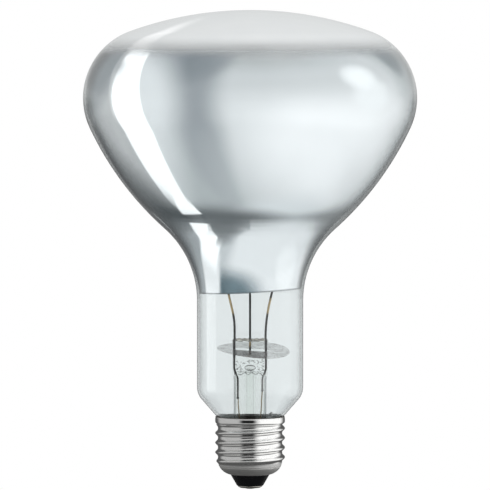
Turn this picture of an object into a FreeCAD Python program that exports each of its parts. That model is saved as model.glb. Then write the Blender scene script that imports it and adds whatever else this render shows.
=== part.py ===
import FreeCAD, Part
import math
import os

# An infrared heat lamp: a blown reflector bulb, silvered inside, on a screw cap.
# Millimetres. The axis is Z with the cap down, and the origin is the tip of the centre contact.
# The side that is looked at is -Y, so left is -X and right is +X.

# Bulb glass
overall_length = 179.6
bulb_diameter = 125.0
dome_radius = 132.0
shoulder_radius = 26.6
side_radius = 117.6
flare_radius = 36.3
reflector_depth = 108.9
neck_diameter = 39.8
neck_corner_radius = 7.0
taper_angle = 41.0
skirt_length = 8.6
skirt_blend_radius = 3.0
glass_wall = 0.9

# Mirror film, drawn thicker than the real one and just clear of the glass, as a solid of its own
film_thickness = 0.12
film_clearance = 0.1
clear_dome_depth = 13.3
silver_reach = 3.9
silver_slant = 3.0

# Stem: flare tube, press and exhaust tube
tube_diameter = 12.2
tube_wall = 1.0
tube_length = 22.0
tube_flare_radius = 7.0
seal_rim = 1.6
bore_rise = 0.7
press_shoulder = 4.5
press_height = 11.7
press_width = 13.4
press_thickness = 4.8
press_edge_radius = 1.2
exhaust_diameter = 4.0
exhaust_bore = 2.4
exhaust_tip_wall = 1.2
exhaust_tip_room = 6.1
blow_hole_rise = 0.4
blow_hole_width = 4.2
blow_hole_height = 2.4
blow_hole_rim = 0.2

# Heat shield
disc_diameter = 27.2
disc_thickness = 0.3
disc_rise = 7.2
disc_shift = 1.2
disc_lean = 8.0
disc_slant = 3.0
slot_clearance = 0.2

# Wires
inner_lead_diameter = 0.84
support_diameter = 0.8
support_depth = 6.2
seal_wire_diameter = 0.7
seal_wire_bend_radius = 3.0
seal_wire_clearance = 0.15
wire_joint_rise = 4.5
weld_bead_diameter = 1.1
outer_lead_diameter = 0.44
outer_lead_bend_radius = 1.3
outer_lead_gap = 1.9
outer_lead_bend_rise = 7.5
lead_inset = 0.9
lead_straight = 6.8
lead_tip_length = 4.5
lead_tip_bend_radius = 1.4
left_lead_bend_radius = 30.0
right_lead_bend_radius = 60.0
left_seal_wire_drop = 6.7
right_seal_wire_drop = 3.5

# Filament
filament_depth = 78.6
filament_span = 29.0
coil_wire_diameter = 0.4
coil_pitch = 1.25
coil_grip = 2.5
coil_fit = 0.03
hook_clearance = 0.06

# Screw cap, from the contact up
solder_height = 0.4
contact_height = 0.8
insulator_cone = 4.2
curl_rise = 2.9
foot_taper = 1.9
thread_length = 14.5
collar_width = 2.4
collar_step = 0.6
thread_diameter = 26.2
thread_root_diameter = 24.1
thread_pitch = 25.4 / 7.0
thread_lead_in = 1.92
thread_run_in = 0.27
thread_fade = 1.8
# Half of the ridge's section from inside the wall to its crest: share of the pitch, share of the depth
ridge_form = [(0.45, -0.15), (0.33, 0.2), (0.17, 0.8), (0.07, 1.0)]
collar_diameter = 25.9
foot_diameter = 23.0
mouth_diameter = 14.6
foot_bend_radius = 6.0
shell_wall = 0.3
insulator_dish = 0.9
contact_diameter = 9.2
contact_edge_radius = 1.1
lead_hole_diameter = 1.6
centre_solder_diameter = 4.6
contact_land_diameter = 2.2

# Cement and side solder
skirt_gap = 1.25
rim_gap = 0.2
cement_depth = 3.7
cement_bead = 0.9
cement_overhang = 0.25
solder_angle = 50.0
solder_diameter = 2.6
notch_width = 0.8
notch_depth = 1.9

# Heights that follow from the sizes
neck_top = overall_length - reflector_depth
filament_height = overall_length - filament_depth
insulator_bottom = solder_height + contact_height
mouth_height = insulator_bottom + insulator_cone
foot_height = mouth_height + curl_rise
insulator_floor = foot_height - insulator_dish
thread_bottom = foot_height + foot_taper
collar_bottom = thread_bottom + thread_length
collar_top = collar_bottom + collar_width
cement_bottom = collar_bottom - cement_depth
seal_height = collar_top - skirt_length
tube_top = seal_height + tube_length
bore_top = tube_top + bore_rise
press_bottom = tube_top + press_shoulder
press_top = press_bottom + press_height
blow_hole_middle = press_bottom + blow_hole_rise
exhaust_top = blow_hole_middle - blow_hole_height / 2 - blow_hole_rim
exhaust_tip = insulator_floor + exhaust_tip_room
wire_joint = press_bottom + wire_joint_rise

# Radii and distances that follow from the sizes
neck_radius = neck_diameter / 2
collar_radius = collar_diameter / 2
crest_radius = thread_diameter / 2
root_radius = thread_root_diameter / 2
lining_radius = root_radius - shell_wall
skirt_radius = lining_radius - skirt_gap
bore_radius = tube_diameter / 2 - tube_wall
contact_radius = contact_diameter / 2
lead_hole_radius = lead_hole_diameter / 2
lead_offset = press_width / 2 - lead_inset
seal_wire_offset = bore_radius - seal_wire_clearance - seal_wire_diameter / 2
outer_lead_offset = exhaust_diameter / 2 + outer_lead_gap
coil_radius = inner_lead_diameter / 2 + coil_fit + coil_wire_diameter / 2

ALONG_X = FreeCAD.Vector(1, 0, 0)
ALONG_Y = FreeCAD.Vector(0, 1, 0)
UP = FreeCAD.Vector(0, 0, 1)
ORIGIN = FreeCAD.Vector(0, 0, 0)
LEFT = -1
RIGHT = 1


def point(radius, height):
    """A point of a section, in the plane through the axis."""
    return FreeCAD.Vector(radius, 0, height)


def polar(centre, radius, degrees):
    """A point of a section at a distance and a turn from a centre."""
    turn = math.radians(degrees)
    return centre + point(radius * math.cos(turn), radius * math.sin(turn))


def heading(start, end):
    """The turn, in degrees, at which one point of a section sees another."""
    return math.degrees(math.atan2(end.z - start.z, end.x - start.x))


def line(start, end):
    return Part.LineSegment(start, end).toShape()


def arc(centre, radius, first, last):
    middle = polar(centre, radius, (first + last) / 2)
    return Part.Arc(polar(centre, radius, first), middle, polar(centre, radius, last)).toShape()


def chain(points):
    """Straight edges from each point to the next."""
    return [line(start, end) for start, end in zip(points, points[1:])]


def turned(edges):
    """The solid that a closed section makes when it is turned about the axis."""
    section = Part.Face(Part.Wire(edges))
    return section.revolve(ORIGIN, UP, 360)


def circles_meet(first, first_radius, second, second_radius):
    """The point on the axis side that lies at the two distances from two points."""
    span = (second - first).Length
    along = (second - first) / span
    reach = (first_radius**2 - second_radius**2 + span**2) / (2 * span)
    rise = math.sqrt(first_radius**2 - reach**2)
    aside = point(along.z, -along.x)
    return first + along * reach + aside * rise


def bent_wire(points, bend_radii, diameter):
    """A round wire along straight runs joined by tangent bends, one bend at each inner point."""
    runs = []
    start = points[0]
    for before, corner, after, bend_radius in zip(points, points[1:], points[2:], bend_radii):
        back = (before - corner).normalize()
        ahead = (after - corner).normalize()
        half_turn = back.getAngle(ahead) / 2
        setback = bend_radius / math.tan(half_turn)
        inward = (back + ahead).normalize()
        bend_start = corner + back * setback
        bend_middle = corner + inward * (bend_radius / math.sin(half_turn) - bend_radius)
        bend_end = corner + ahead * setback
        runs.append(line(start, bend_start))
        runs.append(Part.Arc(bend_start, bend_middle, bend_end).toShape())
        start = bend_end
    runs.append(line(start, points[-1]))
    rim = Part.makeCircle(diameter / 2, points[0], points[1] - points[0])
    return Part.Wire(runs).makePipe(Part.Face(Part.Wire(rim)))


def stadium(width, thickness, height):
    """A flat section with round ends, as the press has."""
    straight = (width - thickness) / 2
    half = thickness / 2
    corners = [(-straight, -half), (straight, -half), (straight, half), (-straight, half)]
    front_left, front_right, back_right, back_left = [
        FreeCAD.Vector(across, depth, height) for across, depth in corners
    ]
    right_end = FreeCAD.Vector(width / 2, 0, height)
    left_end = FreeCAD.Vector(-width / 2, 0, height)
    return Part.Wire([
        line(front_left, front_right),
        Part.Arc(front_right, right_end, back_right).toShape(),
        line(back_right, back_left),
        Part.Arc(back_left, left_end, front_left).toShape(),
    ])


def quartered_circle(radius, height):
    """A circle in four arcs that pair with the four edges of a stadium."""
    spots = [
        FreeCAD.Vector(radius * math.cos(math.radians(a)), radius * math.sin(math.radians(a)), height)
        for a in range(225, 226 + 360, 45)
    ]
    return Part.Wire([Part.Arc(*spots[i:i + 3]).toShape() for i in range(0, 8, 2)])


def bulb_outline(inset):
    """The bulb's half section from the top of the dome to the end of the skirt, set in from the glass
    surface by a distance. Each arc runs into the next, so only radii and places are given."""
    dome_centre = point(0, overall_length - dome_radius)
    shoulder_reach = bulb_diameter / 2 - shoulder_radius
    shoulder_rise = math.sqrt((dome_radius - shoulder_radius)**2 - shoulder_reach**2)
    shoulder_centre = dome_centre + point(shoulder_reach, shoulder_rise)
    flare_centre = point(neck_radius + flare_radius, neck_top)
    side_centre = circles_meet(
        shoulder_centre, side_radius - shoulder_radius, flare_centre, side_radius + flare_radius
    )
    dome_end = heading(dome_centre, shoulder_centre)
    shoulder_end = heading(side_centre, shoulder_centre)
    side_end = heading(side_centre, flare_centre)

    # The taper runs down past the rim of the cap, so its line fixes the bends at both of its ends.
    rim = point(collar_radius - shell_wall - rim_gap, collar_top)
    slope = math.radians(taper_angle)
    taper_line = rim.x * math.cos(slope) - rim.z * math.sin(slope)
    corner_across = neck_radius - neck_corner_radius
    corner_height = (corner_across * math.cos(slope) + neck_corner_radius - taper_line) / math.sin(slope)
    corner_centre = point(corner_across, corner_height)
    blend_across = skirt_radius + skirt_blend_radius
    blend_height = (blend_across * math.cos(slope) - skirt_blend_radius - taper_line) / math.sin(slope)
    blend_centre = point(blend_across, blend_height)
    corner_bend = neck_corner_radius - inset
    blend_bend = skirt_blend_radius + inset
    taper_start = polar(corner_centre, corner_bend, -taper_angle)
    taper_end = polar(blend_centre, blend_bend, 180 - taper_angle)

    return [
        arc(dome_centre, dome_radius - inset, 90, dome_end),
        arc(shoulder_centre, shoulder_radius - inset, dome_end, shoulder_end),
        arc(side_centre, side_radius - inset, shoulder_end, side_end),
        arc(flare_centre, flare_radius + inset, side_end + 180, 180),
        line(point(neck_radius - inset, neck_top), point(neck_radius - inset, corner_height)),
        arc(corner_centre, corner_bend, 0, -taper_angle),
        line(taper_start, taper_end),
        arc(blend_centre, blend_bend, 180 - taper_angle, 180),
        line(point(skirt_radius - inset, blend_height), point(skirt_radius - inset, seal_height)),
    ]


def bulb_layer(outer_inset, inner_inset):
    """A layer of the bulb between two insets."""
    outside = bulb_outline(outer_inset)
    inside = bulb_outline(inner_inset)
    skirt_end = line(
        point(skirt_radius - outer_inset, seal_height), point(skirt_radius - inner_inset, seal_height)
    )
    crown = line(point(0, overall_length - inner_inset), point(0, overall_length - outer_inset))
    return turned(outside + [skirt_end] + inside[::-1] + [crown])


def filled_bulb():
    """Everything inside the glass's outer surface, to fit the cap's pieces against."""
    floor = chain([point(skirt_radius, seal_height), point(0, seal_height), point(0, overall_length)])
    return turned(bulb_outline(0) + floor)


def slab(low, high, tilt):
    """A block wider than the bulb between two heights, tilted about Y at the middle of its low side."""
    half = bulb_diameter
    block = Part.makeBox(2 * half, 2 * half, high - low, FreeCAD.Vector(-half, -half, low))
    block.rotate(point(0, low), ALONG_Y, tilt)
    return block


def mirror_coating():
    """The film from the edge of the clear dome down to a slanted edge at the top of the neck."""
    outer_inset = glass_wall + film_clearance
    film = bulb_layer(outer_inset, outer_inset + film_thickness)
    above_neck = slab(neck_top + silver_reach, overall_length + bulb_diameter, -silver_slant)
    below_dome = slab(seal_height, overall_length - clear_dome_depth, 0)
    return film.common(above_neck).common(below_dome)


def flare_tube():
    """The stem's tube as a solid bar, bell-mouthed where it is sealed to the skirt, and its bore."""
    tube_radius = tube_diameter / 2
    rim_radius = skirt_radius - glass_wall
    rim_height = seal_height + seal_rim
    centre_across = tube_radius + tube_flare_radius
    sweep = math.degrees(math.acos((centre_across - rim_radius) / tube_flare_radius))
    flare_centre = point(centre_across, rim_height + tube_flare_radius * math.sin(math.radians(sweep)))
    bar = turned(
        chain([point(0, tube_top), point(tube_radius, tube_top), point(tube_radius, flare_centre.z)])
        + [arc(flare_centre, tube_flare_radius, 180, 180 + sweep)]
        + chain([point(rim_radius, rim_height), point(rim_radius, seal_height), point(0, seal_height)])
        + [line(point(0, seal_height), point(0, tube_top))]
    )
    bell = tube_flare_radius + tube_wall
    bore = turned(
        chain([point(0, bore_top), point(bore_radius, bore_top), point(bore_radius, flare_centre.z)])
        + [arc(flare_centre, bell, 180, 180 + sweep)]
        + chain([polar(flare_centre, bell, 180 + sweep), point(rim_radius, seal_height)])
        + chain([point(rim_radius, seal_height), point(0, seal_height), point(0, bore_top)])
    )
    return bar, bore


def blow_hole():
    """The opening in the front of the press that the exhaust tube leads to."""
    hole = Part.Face(stadium(blow_hole_width, blow_hole_height, 0)).extrude(UP * press_thickness)
    hole.rotate(ORIGIN, ALONG_X, 90)
    hole.translate(point(0, blow_hole_middle))
    passage = Part.makeCylinder(exhaust_bore / 2, blow_hole_middle - exhaust_top, point(0, exhaust_top), UP)
    return hole.fuse(passage)


def stem(embedded):
    """Flare tube and press in one glass piece, with a channel for each embedded wire."""
    bar, bore = flare_tube()
    tube_ring = quartered_circle(tube_diameter / 2, tube_top)
    press_ring = stadium(press_width, press_thickness, press_bottom)
    shoulder = Part.makeLoft([tube_ring, press_ring], True, True)
    press = Part.Face(press_ring).extrude(UP * press_height)
    top_edges = [edge for edge in press.Edges if edge.BoundBox.ZMin > press_bottom + press_height / 2]
    press = press.makeFillet(press_edge_radius, top_edges)
    glass = bar.fuse([shoulder, press]).removeSplitter()
    socket = Part.makeCylinder(exhaust_diameter / 2, exhaust_top - seal_height, point(0, seal_height), UP)
    return glass.cut([bore, socket, blow_hole()] + embedded)


def exhaust_tube():
    """Open at the press, and drawn off to a round closed tip below."""
    outer = exhaust_diameter / 2
    inner = exhaust_bore / 2
    tip_centre = point(0, exhaust_tip + outer)
    inner_tip = point(0, exhaust_tip + exhaust_tip_wall + inner)
    walls = [
        point(outer, tip_centre.z),
        point(outer, exhaust_top),
        point(inner, exhaust_top),
        point(inner, inner_tip.z),
    ]
    tip = line(polar(inner_tip, inner, -90), polar(tip_centre, outer, -90))
    return turned([arc(tip_centre, outer, -90, 0)] + chain(walls) + [arc(inner_tip, inner, 0, -90), tip])


def mica_disc():
    """A thin round shield that leans a little, slotted to sit on the press."""
    disc = Part.makeCylinder(disc_diameter / 2, disc_thickness, point(disc_shift, 0), UP)
    disc.rotate(ORIGIN, ALONG_X, disc_lean)
    disc.rotate(ORIGIN, ALONG_Y, disc_slant)
    disc.translate(point(0, press_bottom + disc_rise))
    slot = stadium(press_width + 2 * slot_clearance, press_thickness + 2 * slot_clearance, press_bottom)
    return disc.cut(Part.Face(slot).extrude(UP * press_height))


def inner_lead(side, bend_radius):
    """From the press up and out to the filament, with its tip turned in to carry the coil's end."""
    foot = side * lead_offset
    top = side * filament_span / 2
    tip = top - side * lead_tip_length
    route = [
        point(foot, wire_joint),
        point(foot, press_top + lead_straight),
        point(top, filament_height),
        point(tip, filament_height),
    ]
    return bent_wire(route, [bend_radius, lead_tip_bend_radius], inner_lead_diameter)


def seal_wire(side, drop):
    """The thick stretch through the press, with a weld bead where the thin lead joins it."""
    lower_end = point(side * seal_wire_offset, tube_top - drop)
    route = [
        point(side * lead_offset, wire_joint),
        point(side * lead_offset, press_bottom),
        point(side * seal_wire_offset, bore_top),
        lower_end,
    ]
    wire = bent_wire(route, [seal_wire_bend_radius] * 2, seal_wire_diameter)
    bead = Part.makeSphere(weld_bead_diameter / 2, lower_end)
    return wire.fuse(bead).removeSplitter()


def centre_lead(side, drop):
    """The thin lead that goes round the exhaust tip, through the insulator and into the centre contact."""
    route = [
        point(side * seal_wire_offset, tube_top - drop),
        point(side * outer_lead_offset, seal_height + outer_lead_bend_rise),
        point(side * outer_lead_offset, exhaust_tip),
        point(0, insulator_floor + 2 * outer_lead_bend_radius),
        point(0, solder_height),
    ]
    return bent_wire(route, [outer_lead_bend_radius] * 3, outer_lead_diameter)


def around(radius, height):
    """A point at the side of the cap where the rim is soldered."""
    turn = math.radians(solder_angle)
    return FreeCAD.Vector(radius * math.cos(turn), radius * math.sin(turn), height)


def side_lead(side, drop):
    """The thin lead that turns up between skirt and shell and comes out at the notch in the rim."""
    between = skirt_radius + skirt_gap / 2
    under_seal = seal_height - 2 * outer_lead_diameter
    out_height = collar_top - notch_depth + outer_lead_diameter
    route = [
        point(side * seal_wire_offset, tube_top - drop),
        point(side * outer_lead_offset, seal_height + outer_lead_bend_rise),
        point(side * outer_lead_offset, under_seal),
        around(between, under_seal),
        around(between, out_height),
        around(collar_radius + outer_lead_diameter, out_height),
    ]
    return bent_wire(route, [outer_lead_bend_radius] * 4, outer_lead_diameter)


def filament():
    """A coil from lead to lead, slipped over both tips."""
    length = filament_span - 2 * (lead_tip_length - coil_grip)
    path = Part.makeHelix(coil_pitch, length, coil_radius)
    section = Part.makePolygon([
        polar(point(coil_radius, 0), coil_wire_diameter / 2, turn) for turn in range(0, 361, 90)
    ])
    coil = Part.Wire(path).makePipeShell([section], True, True)
    coil.translate(point(0, -length / 2))
    coil.rotate(ORIGIN, ALONG_Y, 90)
    coil.translate(point(0, filament_height))
    return coil


def centre_support():
    """A straight wire in the press, with a ring at the top that the coil passes through."""
    ring_radius = coil_radius + coil_wire_diameter / 2 + hook_clearance + support_diameter / 2
    ring = Part.makeTorus(ring_radius, support_diameter / 2, point(0, filament_height), ALONG_X)
    foot = press_top - support_depth
    reach = filament_height - ring_radius - foot
    wire = Part.makeCylinder(support_diameter / 2, reach, point(0, foot), UP)
    return wire.fuse(ring).removeSplitter()


def curl():
    """Centre and end turns of the arc that takes the foot of the shell in to its mouth."""
    foot = point(foot_diameter / 2, foot_height)
    mouth = point(mouth_diameter / 2, mouth_height)
    centre = circles_meet(foot, foot_bend_radius, mouth, foot_bend_radius)
    return centre, heading(centre, foot), heading(centre, mouth)


def shell_lining():
    """The inner wall of the shell from the foot up to the rim."""
    collar_inner = collar_radius - shell_wall
    return [
        point(lining_radius, thread_bottom),
        point(lining_radius, collar_bottom - collar_step),
        point(collar_inner, collar_bottom),
        point(collar_inner, collar_top),
    ]


def thread_ridge():
    """One rolled ridge with a rounded crest, wound right-handed and faded out at the foot."""
    depth = crest_radius - root_radius
    clear = crest_radius + shell_wall
    start = thread_bottom - thread_lead_in
    rise = [(share, root_radius + depth * level) for share, level in ridge_form]
    upper_side = [point(radius, start + thread_pitch * share) for share, radius in rise]
    lower_side = [point(radius, start - thread_pitch * share) for share, radius in rise]
    section = Part.makePolygon(upper_side + lower_side[::-1] + upper_side[:1])
    path = Part.makeHelix(thread_pitch, collar_bottom + thread_run_in - start, root_radius)
    path.translate(point(0, start))
    ridge = Part.Wire(path).makePipeShell([section], True, True)
    fade = turned(chain([
        point(0, thread_bottom),
        point(lining_radius, thread_bottom),
        point(clear, thread_bottom + thread_fade),
        point(clear, collar_bottom),
        point(0, collar_bottom),
        point(0, thread_bottom),
    ]))
    hollow = turned(chain(
        [point(0, thread_bottom)] + shell_lining() + [point(0, collar_top), point(0, thread_bottom)]
    ))
    return ridge.common(fade).cut(hollow)


def cap_shell():
    """A thin sheet shell: plain collar, rolled thread, and a foot that curls in to hold the insulator."""
    centre, foot_turn, mouth_turn = curl()
    inner_curl = foot_bend_radius - shell_wall
    outside = [
        point(collar_radius, collar_top),
        point(collar_radius, collar_bottom),
        point(root_radius, collar_bottom - collar_step),
        point(root_radius, thread_bottom),
        polar(centre, foot_bend_radius, foot_turn),
    ]
    inside = [polar(centre, inner_curl, foot_turn)] + shell_lining() + outside[:1]
    body = turned(
        chain(outside)
        + [arc(centre, foot_bend_radius, foot_turn, mouth_turn)]
        + [line(polar(centre, foot_bend_radius, mouth_turn), polar(centre, inner_curl, mouth_turn))]
        + [arc(centre, inner_curl, mouth_turn, foot_turn)]
        + chain(inside)
    )
    notch_corner = FreeCAD.Vector(0, -notch_width / 2, collar_top - notch_depth)
    notch = Part.makeBox(thread_diameter, notch_width, notch_depth, notch_corner)
    notch.rotate(ORIGIN, UP, solder_angle)
    return body.fuse(thread_ridge()).cut(notch).removeSplitter()


def cap_insulator():
    """A black glass plug, cone-shaped below, that fills the curl of the shell."""
    centre, foot_turn, mouth_turn = curl()
    inner_curl = foot_bend_radius - shell_wall
    below = [
        point(lead_hole_radius, insulator_bottom),
        point(contact_radius, insulator_bottom),
        polar(centre, foot_bend_radius, mouth_turn),
        polar(centre, inner_curl, mouth_turn),
    ]
    above = [
        polar(centre, inner_curl, foot_turn),
        point(contact_radius, insulator_floor),
        point(lead_hole_radius, insulator_floor),
        point(lead_hole_radius, insulator_bottom),
    ]
    return turned(chain(below) + [arc(centre, inner_curl, mouth_turn, foot_turn)] + chain(above))


def contact_plate():
    """A pressed disc with a rolled edge and a hole for the lead."""
    flat_radius = contact_radius - contact_edge_radius
    half_way = math.radians(45)
    across = flat_radius + contact_edge_radius * math.cos(half_way)
    down = contact_height * math.sin(half_way)
    edge_middle = point(across, insulator_bottom - down)
    edge = Part.Arc(point(contact_radius, insulator_bottom), edge_middle, point(flat_radius, solder_height))
    face = [
        point(flat_radius, solder_height),
        point(lead_hole_radius, solder_height),
        point(lead_hole_radius, insulator_bottom),
        point(contact_radius, insulator_bottom),
    ]
    return turned([edge.toShape()] + chain(face))


def centre_solder(lead):
    """A low bump with a small flat land, run up into the hole round the lead."""
    land = contact_land_diameter / 2
    rim = centre_solder_diameter / 2
    shoulder = point((rim + land) / 2, solder_height / 4)
    side = Part.Arc(point(land, 0), shoulder, point(rim, solder_height))
    top = [
        point(rim, solder_height),
        point(lead_hole_radius, solder_height),
        point(lead_hole_radius, insulator_bottom),
        point(0, insulator_bottom),
        point(0, 0),
        point(land, 0),
    ]
    return turned([side.toShape()] + chain(top)).cut(lead)


def basing_cement(bulb, lead):
    """The ring of cement between skirt and shell, with the bead that shows above the rim."""
    buried = skirt_radius - glass_wall
    bead_top = collar_top + cement_bead
    blank = turned(chain(
        [point(buried, cement_bottom), point(lining_radius, cement_bottom)]
        + shell_lining()[1:]
        + [point(collar_radius, collar_top), point(collar_radius + cement_overhang, bead_top)]
        + [point(buried, bead_top), point(buried, cement_bottom)]
    ))
    return blank.cut([bulb, lead])


def side_solder(neighbours):
    """A drop of solder that fills the notch and holds the side lead to the rim."""
    middle = around(collar_radius, collar_top - notch_depth / 4)
    return Part.makeSphere(solder_diameter / 2, middle).cut(neighbours)


def build():
    """Every piece of the lamp by its node's name."""
    left_seal = seal_wire(LEFT, left_seal_wire_drop)
    right_seal = seal_wire(RIGHT, right_seal_wire_drop)
    left_inner = inner_lead(LEFT, left_lead_bend_radius)
    right_inner = inner_lead(RIGHT, right_lead_bend_radius)
    support = centre_support()
    left_outer = centre_lead(LEFT, left_seal_wire_drop).cut(left_seal)
    right_outer = side_lead(RIGHT, right_seal_wire_drop).cut(right_seal)
    bulb = filled_bulb()
    shell = cap_shell()
    cement = basing_cement(bulb, right_outer)
    return {
        "glass_envelope": bulb_layer(0, glass_wall),
        "mirror_coating": mirror_coating(),
        "stem": stem([left_seal, right_seal, left_inner, right_inner, support]),
        "exhaust_tube": exhaust_tube(),
        "mica_disc": mica_disc(),
        "left_inner_lead": left_inner,
        "right_inner_lead": right_inner,
        "left_seal_wire": left_seal,
        "right_seal_wire": right_seal,
        "left_outer_lead": left_outer,
        "right_outer_lead": right_outer,
        "centre_support": support,
        "filament": filament(),
        "basing_cement": cement,
        "cap_shell": shell,
        "cap_insulator": cap_insulator(),
        "contact_plate": contact_plate(),
        "centre_solder": centre_solder(left_outer),
        "side_solder": side_solder([bulb, shell, cement, right_outer]),
    }


os.makedirs("parts", exist_ok=True)
for node, shape in build().items():
    shape.exportStep(f"parts/{node}.step")
    print(f"{node}: {len(shape.Solids)} solid, {shape.Volume:.2f} mm3, valid {shape.isValid()}")
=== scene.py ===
# %% [markdown]
# # An infrared heat lamp
# A heat lamp is a blown glass bulb, silvered inside like a mirror, on a screw cap. The light that falls on
# it makes most of its looks: the silver shows the studio, and the clear neck shows the glass stem with its
# wires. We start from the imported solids, which fix the size and the place of every piece.

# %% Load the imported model
import bpy
import bmesh
import math
import random
from mathutils import Matrix, Vector


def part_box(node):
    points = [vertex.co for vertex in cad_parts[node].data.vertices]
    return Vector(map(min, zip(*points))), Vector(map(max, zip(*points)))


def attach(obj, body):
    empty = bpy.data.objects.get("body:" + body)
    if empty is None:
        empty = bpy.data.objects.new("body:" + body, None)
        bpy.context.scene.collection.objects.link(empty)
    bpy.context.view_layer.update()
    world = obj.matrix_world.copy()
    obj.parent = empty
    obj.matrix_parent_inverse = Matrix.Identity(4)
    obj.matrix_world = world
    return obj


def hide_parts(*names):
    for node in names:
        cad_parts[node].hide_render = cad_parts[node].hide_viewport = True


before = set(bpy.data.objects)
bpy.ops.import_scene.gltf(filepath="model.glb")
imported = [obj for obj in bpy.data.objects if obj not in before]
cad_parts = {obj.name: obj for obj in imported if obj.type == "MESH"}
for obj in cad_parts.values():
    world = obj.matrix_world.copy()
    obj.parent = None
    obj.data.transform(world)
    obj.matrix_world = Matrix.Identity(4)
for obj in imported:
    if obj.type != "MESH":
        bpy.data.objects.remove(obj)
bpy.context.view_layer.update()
MM = 0.001
print("nodes:", ", ".join(sorted(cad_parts)))

# %% [markdown]
# ## Tools for turned pieces
# Bulb, film, cap and cement are all round, so each one can be drawn as half a section and turned about the
# lamp's axis. A vertex that is spun about a centre leaves an arc behind it, and one that is extruded leaves
# a straight line, so a whole section is drawn like a pen stroke. Sizes are in millimetres.

# %% Helpers that draw a section and turn it
WELD_GAP = 0.001


def at(radius, height):
    return Vector((radius * MM, 0, height * MM))


def points_of(parts):
    return [part for part in parts if isinstance(part, bmesh.types.BMVert)]


def weld(bm):
    bmesh.ops.remove_doubles(bm, verts=bm.verts, dist=WELD_GAP * MM)
    bmesh.ops.recalc_face_normals(bm, faces=bm.faces)


class Pen:
    """Draws half a section, in a mesh of its own or in that of another pen."""

    def __init__(self, radius, height, bm=None):
        self.bm = bm or bmesh.new()
        self.start = self.bm.verts.new(at(radius, height))
        self.tip = self.start

    def arc(self, centre, sweep, steps):
        made = bmesh.ops.spin(
            self.bm, geom=[self.tip], cent=centre, axis=(0, 1, 0), angle=math.radians(sweep), steps=steps
        )
        self.tip = points_of(made["geom_last"])[0]

    def line(self, radius, height, steps=1):
        stride = (at(radius, height) - self.tip.co) / steps
        for _ in range(steps):
            self.tip = bmesh.ops.extrude_vert_indiv(self.bm, verts=[self.tip])["verts"][0]
            bmesh.ops.translate(self.bm, verts=[self.tip], vec=stride)

    def lines(self, corners, steps):
        for radius, height in corners:
            self.line(radius, height, steps)

    def close(self):
        self.bm.edges.new((self.tip, self.start))

    def turned(self, steps):
        bmesh.ops.spin(
            self.bm, geom=self.bm.verts[:] + self.bm.edges[:], cent=(0, 0, 0), axis=(0, 0, 1),
            angle=2 * math.pi, steps=steps, use_merge=True,
        )
        weld(self.bm)
        return self.bm


def keep(bm, name, node, slot, *finishes, crease=35):
    mesh = bpy.data.meshes.new(name)
    bm.to_mesh(mesh)
    bm.free()
    for finish in finishes:
        mesh.materials.append(finish.material)
    mesh.shade_smooth()
    mesh.set_sharp_from_angle(angle=math.radians(crease))
    piece = bpy.data.objects.new(name, mesh)
    bpy.context.scene.collection.objects.link(piece)
    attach(piece, "root")
    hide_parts(node)
    mesh.calc_loop_triangles()
    print(f"{name}: {len(mesh.loop_triangles)} triangles")


# %% [markdown]
# ## Tools for finishes
# Every finish on the lamp is one Principled shader. What is the same all over is set on its sockets. What
# varies comes from noise and from places in Object coordinates, which stay put when the lamp is seen from
# another side.

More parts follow.
